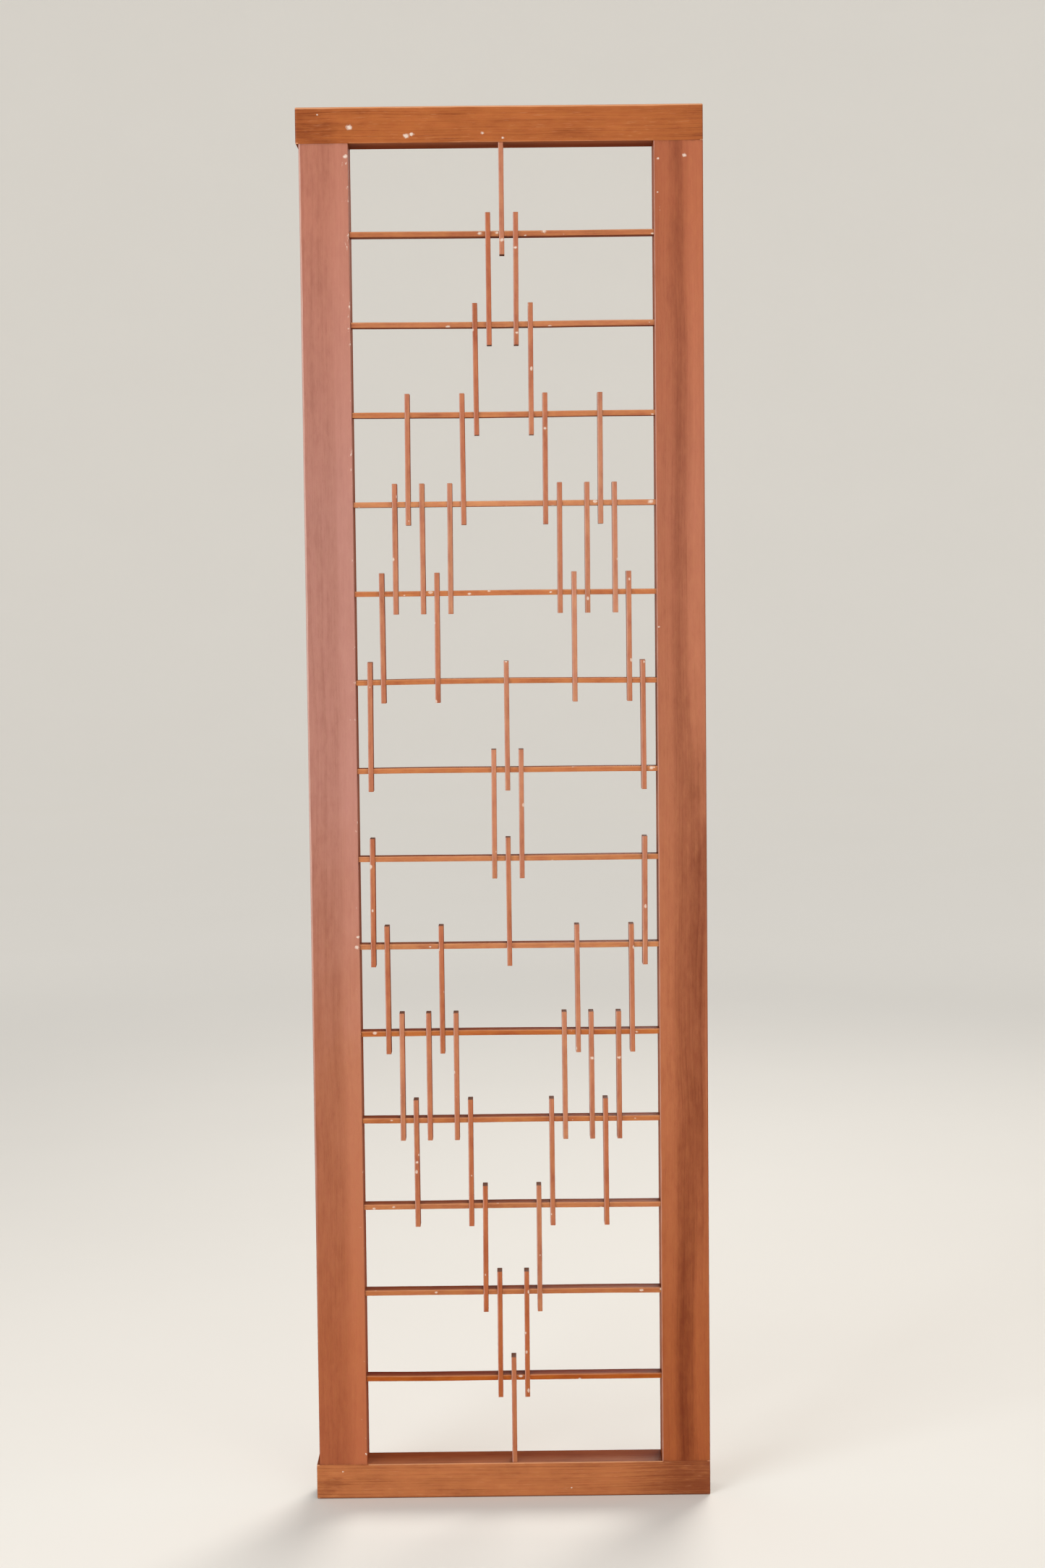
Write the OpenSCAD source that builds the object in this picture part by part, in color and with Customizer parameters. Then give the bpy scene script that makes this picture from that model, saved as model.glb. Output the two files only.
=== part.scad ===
// Lattice transom panel (kumiko ranma), standing upright.
// Two rails cap two stiles. Thin bars run from stile to stile, and short upright
// strips are half-lapped over them in a pattern that mirrors left to right and
// top to bottom. Front is -Y, +Z is up, and the origin is the middle of the foot.

/* [Frame] */
// Clear width between the stiles
opening_w = 204; // [150:1:300]
// Depth of rails and stiles, front to back
frame_d = 26; // [20:0.5:40]
// Face width of each stile
stile_w = 33; // [24:0.5:50]
// Face height of each rail
rail_h = 24; // [22:0.5:40]
// How far the rails stand out past the left stile
rail_horn = 2; // [0:0.5:10]
// Small chamfer along the long edges of rails and stiles
edge_chamfer = 1; // [0.2:0.1:2]

/* [Lattice] */
// Distance from one bar to the next, centre to centre
bar_pitch = 60; // [45:1:90]
// Height of a bar's face
bar_t = 3.6; // [2.8:0.1:6]
// Width of a strip's face
strip_t = 3.4; // [2.8:0.1:5]
// Depth of bars and strips, front to back
lattice_d = 11; // [8:0.5:16]
// How far the lattice sits behind the frame's front face
lattice_setback = 1; // [0.2:0.1:3]
// How far a strip runs past the centre of the bar it crosses
strip_overhang = 14; // [6:0.5:20]

/* [Joinery] */
// Length of a stile's tenon, which goes up or down into a rail
stile_tenon_l = 17; // [8:0.5:20]
// Thickness of a stile's tenon, front to back
stile_tenon_t = 9; // [6:0.5:14]
// How far the stile's shoulders stand in beside its tenon
stile_shoulder = 5.5; // [3:0.5:9]
// Length of the stub tenons on bars and strips
stub_l = 7; // [4:0.5:10]
// Shoulder above and below, or left and right of, a stub tenon
stub_shoulder = 0.6; // [0.3:0.1:1]
// Shoulder in front of and behind a stub tenon
stub_cheek = 2; // [1:0.5:3]
// Play left around each tenon in its mortise
tenon_play = 0.1; // [0.05:0.05:0.3]
// Space left at the blind end of each mortise
mortise_relief = 0.5; // [0.2:0.1:1.5]
// Play left on each side of a half-lap
lap_play = 0.05; // [0.02:0.01:0.2]

/* [Hidden] */
// Steps of the strip grid across the opening
GRID_STEPS = 22;
// Grid steps from the centre line at which a row of strips stands, each on both
// sides of it. These are the rows above the middle row, top row first.
UPPER_ROWS = [[0], [1], [2], [3, 7], [4, 6, 8], [5, 9], [0, 10]];
MIDDLE_ROW = [1];
// A row with more than this many columns stores each left and right strip as one node
SINGLES_LIMIT = 2;
// Overcut that keeps cutting faces clear of the faces they cut
CUT = 1;

last_upper = len(UPPER_ROWS) - 1;
lower_rows = [for (i = [last_upper : -1 : 0]) UPPER_ROWS[i]];
ROWS = concat(UPPER_ROWS, [MIDDLE_ROW], lower_rows);
BAYS = len(ROWS);

grid_step = opening_w / GRID_STEPS;
rail_w = opening_w + 2 * stile_w + rail_horn;
opening_h = BAYS * bar_pitch;
total_h = opening_h + 2 * rail_h;
// The stiles and the lattice centre on this line, because only the left rail ends stand out
lattice_x = rail_horn / 2;
front_y = -frame_d / 2;
lattice_y = front_y + lattice_setback;
lap_y = lattice_y + lattice_d / 2;

// Height of a bar's centre. Bar 0 is the top rail's lower edge, and the last
// number is the bottom rail's upper edge.
function bar_z(n) = rail_h + (BAYS - n) * bar_pitch;
// Place across the panel of a grid column
function column_x(k) = lattice_x + k * grid_step;
// Both signs of each distance in a row
function both_sides(row) = [for (c = row) each (c == 0 ? [0] : [-c, c])];
// Columns of the strips that cross bar n: those of the row above it and the row below it
function columns_at_bar(n) = concat(both_sides(ROWS[n - 1]), both_sides(ROWS[n]));

function two_digits(n) = n < 10 ? str("0", n) : str(n);
function bar_name(n) = str("bar_", two_digits(n));
function side_name(k) = k == 0 ? "middle" : k < 0 ? str("left_", -k) : str("right_", k);
function strip_name(r, k) = str("strip_", two_digits(r), "_", side_name(k));
function pair_name(r, c) = str("strips_", two_digits(r), "_pair_", c);

// One entry per strip node: its name, its row and its columns
SINGLE_STRIPS = [for (r = [1 : BAYS]) if (len(ROWS[r - 1]) <= SINGLES_LIMIT)
    for (k = both_sides(ROWS[r - 1])) [strip_name(r, k), r, [k]]];
PAIRED_STRIPS = [for (r = [1 : BAYS]) if (len(ROWS[r - 1]) > SINGLES_LIMIT)
    for (c = ROWS[r - 1]) [pair_name(r, c), r, both_sides([c])]];
STRIPS = concat(SINGLE_STRIPS, PAIRED_STRIPS);
BAR_NUMBERS = [1 : BAYS - 1];

RAIL_COLOR = [0.72, 0.36, 0.20];
STILE_COLOR = [0.66, 0.36, 0.26];
BAR_COLOR = [0.78, 0.38, 0.20];
STRIP_COLOR = [0.70, 0.40, 0.28];

// A rectangle with its four corners cut off
module chamfered_rectangle(w, h) {
    c = edge_chamfer;
    polygon([
        [c, 0], [w - c, 0], [w, c], [w, h - c],
        [w - c, h], [c, h], [0, h - c], [0, c]
    ]);
}

// A box centred on x and y, from z0 up to z1
module upright_box(w, d, z0, z1) {
    translate([-w / 2, -d / 2, z0]) cube([w, d, z1 - z0]);
}

// A stile's tenon, or its mortise when play and relief are given. It points up from z = 0.
module stile_tenon(play, relief) {
    w = stile_w - 2 * stile_shoulder + 2 * play;
    upright_box(w, stile_tenon_t + 2 * play, -relief, stile_tenon_l + relief);
}

// A stub tenon on the end of a lattice piece t thick, pointing up from z = 0.
// Its front and back faces lie inside those of the lattice.
module stub_tenon(t, play, relief) {
    w = t - 2 * stub_shoulder + 2 * play;
    translate([0, lap_y, 0])
        upright_box(w, lattice_d - 2 * stub_cheek + 2 * play, -relief, stub_l + relief);
}

// A stub tenon or mortise that points left or right, at the height z
module side_stub(side, z, play, relief) {
    translate([lattice_x + side * opening_w / 2, 0, z])
        rotate([0, side * 90, 0]) stub_tenon(bar_t, play, relief);
}

// A rail lying along x with its lower face at z = 0, mortised for both stiles
// and for the end strips in the columns of one row. The mortises open upwards
// on a bottom rail and downwards on a top rail.
module rail(row, opens_up) {
    mouth_z = opens_up ? rail_h : 0;
    down = opens_up ? 180 : 0;
    difference() {
        translate([-rail_w / 2, front_y, 0])
            rotate([90, 0, 90]) linear_extrude(rail_w) chamfered_rectangle(frame_d, rail_h);
        for (side = [-1, 1])
            translate([lattice_x + side * (opening_w + stile_w) / 2, 0, mouth_z])
                rotate([0, down, 0]) stile_tenon(tenon_play, mortise_relief);
        for (k = both_sides(row))
            translate([column_x(k), 0, mouth_z])
                rotate([0, down, 0]) stub_tenon(strip_t, tenon_play, mortise_relief);
    }
}

module top_rail() {
    color(RAIL_COLOR) translate([0, 0, rail_h + opening_h]) rail(ROWS[0], false);
}

module bottom_rail() {
    color(RAIL_COLOR) rail(ROWS[BAYS - 1], true);
}

// A stile with a tenon at each end and a stub mortise for every bar. side is -1 or 1.
module stile(side) {
    outer = side < 0 ? -opening_w / 2 - stile_w : opening_w / 2;
    color(STILE_COLOR) difference() {
        union() {
            translate([lattice_x + outer, front_y, rail_h])
                linear_extrude(opening_h) chamfered_rectangle(stile_w, frame_d);
            translate([lattice_x + side * (opening_w + stile_w) / 2, 0, rail_h]) {
                translate([0, 0, opening_h]) stile_tenon(0, 0);
                rotate([0, 180, 0]) stile_tenon(0, 0);
            }
        }
        for (n = BAR_NUMBERS) side_stub(side, bar_z(n), tenon_play, mortise_relief);
    }
}

module left_stile() {
    stile(-1);
}

module right_stile() {
    stile(1);
}

// Bar n, with a stub tenon at each end and a notch in its front half for every strip
module bar(n) {
    color(BAR_COLOR) difference() {
        union() {
            translate([lattice_x - opening_w / 2, lattice_y, bar_z(n) - bar_t / 2])
                cube([opening_w, lattice_d, bar_t]);
            for (side = [-1, 1]) side_stub(side, bar_z(n), 0, 0);
        }
        for (k = columns_at_bar(n))
            translate([column_x(k), (lattice_y - CUT + lap_y) / 2, bar_z(n)])
                upright_box(strip_t + 2 * lap_play, lap_y - lattice_y + CUT,
                    -bar_t / 2 - CUT, bar_t / 2 + CUT);
    }
}

// One strip in row r and column k, with a notch in its back half at every bar it
// crosses. An end row's strip runs into the rail with a stub tenon instead.
module strip(r, k) {
    meets_top = r == 1;
    meets_bottom = r == BAYS;
    z_high = bar_z(r - 1) + (meets_top ? 0 : strip_overhang);
    z_low = bar_z(r) - (meets_bottom ? 0 : strip_overhang);
    crossed = [if (!meets_top) r - 1, if (!meets_bottom) r];
    translate([column_x(k), 0, 0]) difference() {
        union() {
            translate([0, lap_y, 0]) upright_box(strip_t, lattice_d, z_low, z_high);
            if (meets_top) translate([0, 0, z_high]) stub_tenon(strip_t, 0, 0);
            if (meets_bottom) translate([0, 0, z_low]) rotate([0, 180, 0]) stub_tenon(strip_t, 0, 0);
        }
        for (n = crossed)
            translate([0, lap_y + (lattice_d / 2 + CUT) / 2, bar_z(n)])
                upright_box(strip_t + 2 * CUT, lattice_d / 2 + CUT,
                    -bar_t / 2 - lap_play, bar_t / 2 + lap_play);
    }
}

// The strips of one node, which are in row r and the given columns
module strips(r, columns) {
    color(STRIP_COLOR) for (k = columns) strip(r, k);
}

top_rail();
bottom_rail();
left_stile();
right_stile();
for (n = BAR_NUMBERS) bar(n);
for (s = STRIPS) strips(s[1], s[2]);
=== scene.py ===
"""The looks of a kumiko lattice panel: stained rails and stiles round thin bars and strips.

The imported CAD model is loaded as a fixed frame. Each timber is made again here as a finer mesh in
the same place, with rounded and worn arrises, and gets a wood finish made of shader nodes.
Lengths are in metres, and in millimetres inside the shaders. Front is -Y and up is +Z.
"""

import math

import bmesh
import bpy
import numpy as np
from bpy.props import FloatProperty, FloatVectorProperty, IntProperty, PointerProperty
from mathutils import Matrix, Vector


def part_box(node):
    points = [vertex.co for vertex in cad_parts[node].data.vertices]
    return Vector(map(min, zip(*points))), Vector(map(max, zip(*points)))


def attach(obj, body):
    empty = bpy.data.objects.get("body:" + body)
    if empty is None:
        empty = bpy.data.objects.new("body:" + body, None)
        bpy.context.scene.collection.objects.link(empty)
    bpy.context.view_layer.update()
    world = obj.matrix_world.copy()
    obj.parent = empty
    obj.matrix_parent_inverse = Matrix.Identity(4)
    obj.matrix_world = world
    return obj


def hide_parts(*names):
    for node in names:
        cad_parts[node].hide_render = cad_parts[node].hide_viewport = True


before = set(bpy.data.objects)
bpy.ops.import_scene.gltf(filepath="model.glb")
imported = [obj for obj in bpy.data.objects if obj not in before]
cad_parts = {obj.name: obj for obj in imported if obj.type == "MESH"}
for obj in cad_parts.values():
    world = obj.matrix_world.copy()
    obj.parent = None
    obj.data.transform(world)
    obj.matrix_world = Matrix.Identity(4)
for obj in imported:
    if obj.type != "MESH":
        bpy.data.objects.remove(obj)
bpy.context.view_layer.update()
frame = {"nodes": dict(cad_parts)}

bl_info = {
    "name": "Kumiko lattice panel",
    "version": (1, 0, 0),
    "blender": (4, 5, 0),
    "location": "3D View > Sidebar > Lattice panel",
    "description": "Makes the finished timbers of a lattice panel round its CAD model",
    "category": "Add Mesh",
}


def edges(node):
    """Lowest and highest corner of a CAD node, as two arrays."""
    low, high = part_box(node)
    return np.array(low), np.array(high)


MM = 0.001
NODE_NAMES = sorted(frame["nodes"])
BAR_NAMES = [n for n in NODE_NAMES if n.startswith("bar_")]
STRIP_NAMES = [n for n in NODE_NAMES if n.startswith("strip")]

# The hidden joints, which the boxes of the CAD nodes don't give. They are the CAD's sizes.
STILE_TENON_HALF_WIDTH = 11 * MM
STILE_TENON_HALF_DEPTH = 4.5 * MM
STUB_SHOULDER = 0.6 * MM
STUB_CHEEK = 2 * MM
TENON_PLAY = 0.1 * MM
MORTISE_RELIEF = 0.5 * MM
LAP_PLAY = 0.05 * MM
STRIP_WIDTH = 3.4 * MM

# The bar that is bent, and how far its middle stands above its ends
BENT_BAR = "bar_06"
BENT_BAR_RISE = 0.65 * MM
# Radius of an arris where another timber covers it, and of a stile's tenon
COVERED_ROUNDING = 0.2 * MM
TENON_ROUNDING = 0.3 * MM
# Radius round the ends of bars and strips
STICK_END_ROUNDING = 0.2 * MM
# How far the ends of the rails are rubbed and lit by painted highlight, where 1 is bare
END_RUB_AND_HIGHLIGHT = 1.0
# Over how long rubbing and painted highlight die away beside an arris, grime and painted
# shade beside a joint, and chips beside the opening
RUB_AND_HIGHLIGHT_REACH = 0.55 * MM
GRIME_AND_SHADE_REACH = 0.6 * MM
CHIP_REACH = 2.6 * MM

# A sliver of length, used to look just before or just after a place where the section changes
HAIR = 1e-7
# Place of the frame's front face in the shaders, in millimetres
FRONT_MM = float(edges("top_rail")[0][1]) / MM


def tint(red, green, blue):
    """Linear colour from three numbers of 0 to 255 as a screen shows them."""
    shown = np.array([red, green, blue]) / 255
    linear = np.where(shown <= 0.04045, shown / 12.92, ((shown + 0.055) / 1.055) ** 2.4)
    return tuple(float(v) for v in linear)


# ---------------------------------------------------------------- settings


def colour_property(name, description, shown):
    """A colour, whose default is given from 0 to 255 as a screen shows it."""
    return FloatVectorProperty(name=name, description=description, subtype="COLOR", size=3,
                               default=tint(*shown), min=0, max=1)


def length_property(name, description, default, low, high):
    """A length, whose default and ends are given in millimetres."""
    return FloatProperty(name=name, description=description, unit="LENGTH", default=default * MM,
                         min=low * MM, max=high * MM)


class FrameLook(bpy.types.PropertyGroup):
    """Sizes and colours of the rails and stiles."""

    outer_rounding: length_property(
        "Outer rounding", "Radius of the arrises on the outside of the frame", 1.6, 0.3, 3)
    inner_rounding: length_property(
        "Inner rounding", "Radius of the arrises round the opening", 0.45, 0.2, 2)
    end_rounding: length_property("End rounding", "Radius round the ends of the rails", 0.8, 0.3, 3)
    wear: FloatProperty(
        name="Wear", description="How uneven handling has left the arrises",
        default=0.3, min=0, max=0.8, subtype="FACTOR")
    top_rail_colour: colour_property("Top rail colour", "Stain of the top rail", (176, 101, 53))
    bottom_rail_colour: colour_property(
        "Bottom rail colour", "Stain of the bottom rail", (183, 107, 58))
    # the left stile's colour holds its stain with a painted pinkish sheen over it
    left_stile_colour: colour_property(
        "Left stile colour", "Stain of the left stile", (185, 130, 112))
    right_stile_colour: colour_property(
        "Right stile colour", "Stain of the right stile", (185, 109, 74))


class LatticeLook(bpy.types.PropertyGroup):
    """Sizes and colours of the bars and strips."""

    bar_wave: length_property(
        "Bar wave", "How far a bar may wander up or down along its length", 0.3, 0, 1)
    strip_lean: length_property(
        "Strip lean", "How far a strip may lean at its ends, and half as far it may stand aside",
        0.22, 0, 0.6)
    arris: length_property("Arris radius", "Radius of the edges of bars and strips", 0.25, 0.1, 0.6)
    bar_colour: colour_property("Bar colour", "Stain of the bars", (189, 110, 64))
    strip_colour: colour_property("Strip colour", "Stain of the strips", (184, 114, 82))


class AgeAndLightLook(bpy.types.PropertyGroup):
    """Colours of wear, dirt and flecks on the wood; the worn colours also paint highlight, and the
    dirt colour paints shade too.
    """

    # the worn colours also paint a highlight on the arrises that face the light
    worn_highlight_colour: colour_property(
        "Worn wood", "Bare wood where the stain has rubbed off", (222, 160, 118))
    pale_worn_highlight_colour: colour_property(
        "Worn pale wood", "The same on the stiles and strips", (208, 170, 158))
    # the grime colour also paints shade beside joints and a shadow along the bottom rail's foot
    grime_and_shade_colour: colour_property("Grime", "Old dirt in corners and beside joints", (84, 42, 28))
    fleck_colour: colour_property("Flecks", "Spots of old white paint and filler", (236, 224, 210))


class StageLook(bpy.types.PropertyGroup):
    """The floor, the lights and the camera."""

    floor_colour: colour_property(
        "Floor colour", "Colour of the floor and the sweep behind it", (226, 222, 214))
    key_power: FloatProperty(
        name="Key light", description="Power of the large cool light at the front left",
        default=23.5, min=0, unit="POWER")
    fill_power: FloatProperty(
        name="Fill light", description="Power of the large warm light at the front right",
        default=9.8, min=0, unit="POWER")
    top_power: FloatProperty(
        name="Top light", description="Power of the light overhead", default=3, min=0, unit="POWER")
    back_power: FloatProperty(
        name="Back light", description="Power of the light behind", default=12, min=0, unit="POWER")
    camera_place: FloatVectorProperty(
        name="Camera place", description="Where the camera stands", size=3, subtype="XYZ",
        unit="LENGTH", default=(0.00579, -1.84821, 0.62986))
    camera_pitch: FloatProperty(
        name="Pitch", description="How far the camera looks down", default=math.radians(4.22),
        subtype="ANGLE")
    camera_yaw: FloatProperty(
        name="Yaw", description="How far the camera turns to its left", default=math.radians(-0.166),
        subtype="ANGLE")
    camera_roll: FloatProperty(
        name="Roll", description="How far the camera leans", default=math.radians(-0.602),
        subtype="ANGLE")
    camera_lens: FloatProperty(
        name="Focal length", description="Focal length in millimetres on a 36 mm sensor",
        default=62.26, min=10, max=300, unit="CAMERA")


class PanelLook(bpy.types.PropertyGroup):
    """All the settings of the lattice panel."""

    frame: PointerProperty(type=FrameLook, name="Frame", description="Rails and stiles")
    lattice: PointerProperty(type=LatticeLook, name="Lattice", description="Bars and strips")
    # these settings also hold the colours of painted highlight and painted shade
    age_and_light: PointerProperty(type=AgeAndLightLook, name="Age", description="Wear, grime and flecks")
    stage: PointerProperty(type=StageLook, name="Stage", description="Floor, lights and camera")
    seed: IntProperty(
        name="Seed", description="Start of the random draws", default=11, min=0)


def look():
    """The settings of this scene."""
    return bpy.context.scene.lattice_panel


# ---------------------------------------------------------------- shapes


def drift(u, spacing, size, rng):
    """Smooth random line along u: random heights up to size stand at knots one spacing apart,
    and half a cosine wave joins each knot to the next."""
    place = u / spacing - np.floor(u.min() / spacing)
    knot = np.floor(place).astype(int)
    heights = rng.uniform(-size, size, knot.max() + 2)
    share = 0.5 - 0.5 * np.cos(math.pi * (place - knot))
    return heights[knot] * (1 - share) + heights[knot + 1] * share


def places(start, end, spacing, steps, rim):
    """Places along a timber and the side each looks to. Even places have side 0, and so have those
    of the rim, which are distances from both ends. Each step stands twice, once with side -1 and
    once with side 1, so that the section can change abruptly there."""
    even = np.linspace(start, end, max(2, round((end - start) / spacing) + 1))
    even = np.concatenate([even, start + rim, end - rim])
    steps = np.array(sorted(steps), float)
    if len(steps):
        clear = np.abs(even[:, None] - steps[None, :]).min(axis=1) > 0.2 * MM
        even = even[clear]
    at = np.concatenate([even, steps, steps])
    side = np.concatenate([np.zeros(len(even)), -np.ones(len(steps)), np.ones(len(steps))])
    order = np.lexsort((side, at))
    return at[order], side[order]


def within(at, side, ranges):
    """Whether each place lies in one of the ranges, counted from the side it looks to."""
    probe = at + side * HAIR
    return sum(((probe > low) & (probe < high) for low, high in ranges), np.zeros(len(at), bool))


def end_inset(at, start, end, radius):
    """How far each place is from the nearer end, and how far the section is drawn in there, which
    is the radius less the height of a quarter circle."""
    near = np.minimum(at - start, end - at)
    short = np.clip(radius - near, 0, None)
    return near, radius - np.sqrt(np.clip(radius ** 2 - short ** 2, 0, None))


def lay(run_axis, at, deep, across):
    """Rings of points out of places along x or z, depths, and places across."""
    run = np.broadcast_to(at[:, None], across.shape)
    return np.stack([run, deep, across] if run_axis == 0 else [across, deep, run], axis=-1)


def section(half_p, half_q, radii, sides, arc_steps):
    """Rings round a rectangle with rounded corners, one for each station.

    The rectangle is 2 half_p by 2 half_q. A corner's points are its centre plus its radius times
    (cos t, sin t) as t goes through a quarter turn. A side's points divide the line from one
    corner to the next in the shares given. The corners come in the order (+, -), (+, +), (-, +),
    (-, -) and side k follows corner k. Returns p, q, and each point's distance from the nearest
    corner, all as arrays of stations by points.
    """
    turn = np.linspace(0, math.pi / 2, arc_steps + 1)
    signs = ((1, -1), (1, 1), (-1, 1), (-1, -1))
    arcs = []
    for k, (sign_p, sign_q) in enumerate(signs):
        radius = radii[:, k:k + 1]
        angle = turn + (k - 1) * math.pi / 2
        arcs.append((sign_p * (half_p[:, None] - radius) + radius * np.cos(angle),
                     sign_q * (half_q[:, None] - radius) + radius * np.sin(angle)))
    p_parts, q_parts, far_parts = [], [], []
    for k, (arc_p, arc_q) in enumerate(arcs):
        next_p, next_q = arcs[(k + 1) % 4]
        share = np.array(sides[k], float)[None, :]
        step_p = next_p[:, :1] - arc_p[:, -1:]
        step_q = next_q[:, :1] - arc_q[:, -1:]
        p_parts += [arc_p, arc_p[:, -1:] + step_p * share]
        q_parts += [arc_q, arc_q[:, -1:] + step_q * share]
        length = np.abs(step_p) + np.abs(step_q)
        far_parts += [np.zeros_like(arc_p), length * np.minimum(share, 1 - share)]
    return np.hstack(p_parts), np.hstack(q_parts), np.hstack(far_parts)


def joins(stations, count):
    """Quads that join each ring of count points to the next."""
    i = np.arange(stations - 1)[:, None] * count
    j = np.arange(count)[None, :]
    after = (j + 1) % count
    return np.stack([i + j, i + after, i + count + after, i + count + j], axis=-1).reshape(-1, 4)


def skin(rings, first):
    """Faces that join ring to ring with quads and close each end with one face. rings has the
    shape stations by points by 3, and first is the number of its first vertex."""
    stations, count = rings.shape[:2]
    ends = [list(range(count))[::-1], list(range((stations - 1) * count, stations * count))]
    return (joins(stations, count) + first).tolist() + [[v + first for v in end] for end in ends]


def make_timber(node, parts, finish):
    """One piece out of parts, each a pair of rings and the values its points carry. Points that
    fall on each other are merged, and the piece takes the place of its CAD node."""
    name = node + "_timber"
    points = np.concatenate([rings.reshape(-1, 3) for rings, _ in parts])
    faces, first = [], 0
    for rings, _ in parts:
        faces += skin(rings, first)
        first += rings.shape[0] * rings.shape[1]
    mesh = bpy.data.meshes.new(name)
    mesh.from_pydata(points, [], faces)
    for key in parts[0][1]:
        value = np.concatenate([carried[key].reshape(-1) for _, carried in parts])
        layer = mesh.attributes.new(key, "FLOAT", "POINT")
        layer.data.foreach_set("value", value.astype(np.float32))
    shell = bmesh.new()
    shell.from_mesh(mesh)
    bmesh.ops.remove_doubles(shell, verts=shell.verts, dist=2e-6)
    bmesh.ops.dissolve_degenerate(shell, edges=shell.edges, dist=1e-6)
    bmesh.ops.recalc_face_normals(shell, faces=shell.faces)
    loose = sum(1 for e in shell.edges if not e.is_manifold)
    if loose:
        raise RuntimeError(f"{name} isn't closed: {loose} edges")
    shell.to_mesh(mesh)
    shell.free()
    mesh.shade_smooth()
    mesh.set_sharp_from_angle(angle=math.radians(50))
    mesh.materials.append(finish)
    piece = bpy.data.objects.new(name, mesh)
    bpy.context.scene.collection.objects.link(piece)
    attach(piece, "root")
    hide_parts(node)


def carry(far, rub_and_highlight, inner, at, nooks, board, ends):
    """Values for the shader: worn is the rubbing and painted highlight on an arris and dies away
    beside it, inner is 1 on the opening's front arris and dies away more slowly, nook is 1 at a
    joint, where dirt and painted shade go, and dies away along the timber, board tells timbers
    apart, and cut is 1 on end grain."""
    shape = far.shape
    nook = np.zeros(len(at))
    for place in nooks:
        nook = np.maximum(nook, np.exp(-np.abs(at - place) / GRIME_AND_SHADE_REACH))
    return {
        "worn": rub_and_highlight * np.exp(-far / RUB_AND_HIGHLIGHT_REACH),
        "inner": inner,
        "nook": np.broadcast_to(nook[:, None], shape),
        "board": np.full(shape, board),
        "cut": np.broadcast_to(ends[:, None], shape).astype(float),
    }


# Which way p points on each rail and stile, how far its arrises are rubbed and lit by painted
# highlight, in the order of the corners of section(), and the number that tells it from the
# other boards
FRAME = {
    "top_rail": (-1, (0.6, 0.5, 0.7, 1.3), 0.3),
    "bottom_rail": (1, (0.9, 0.5, 0.7, 0.3), 0.7),
    "left_stile": (1, (0.35, 0.5, 0.7, 1.0), 0.5),
    "right_stile": (-1, (0.8, 0.5, 0.7, 0.35), 0.5),
}
# Dents in the top rail's lower front arris, each a place, a half width and a size
NICKS = ((-100 * MM, 5 * MM, 0.5 * MM), (-19 * MM, 7 * MM, 0.5 * MM))


def axes(member):
    """The axis that a rail or stile runs along, and the one that points across it."""
    return (0, 2) if member.endswith("rail") else (2, 0)


def socket(member, guest):
    """The mortise of a rail or stile for a guest's tenon: its range along the member, its range of
    depth and its length."""
    run, push = axes(member)
    low, high = edges(member)
    guest_low, guest_high = edges(guest)
    middle, half = (guest_low + guest_high) / 2, (guest_high - guest_low) / 2
    if guest.endswith("stile"):
        width, thick = STILE_TENON_HALF_WIDTH + TENON_PLAY, STILE_TENON_HALF_DEPTH + TENON_PLAY
    else:
        width, thick = half[run] - STUB_SHOULDER + TENON_PLAY, half[1] - STUB_CHEEK + TENON_PLAY
    deep = middle[1] - (low[1] + high[1]) / 2
    length = min(high[push] - guest_low[push], guest_high[push] - low[push]) + MORTISE_RELIEF
    return (middle[run] - width, middle[run] + width), (deep - thick, deep + thick), length


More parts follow.
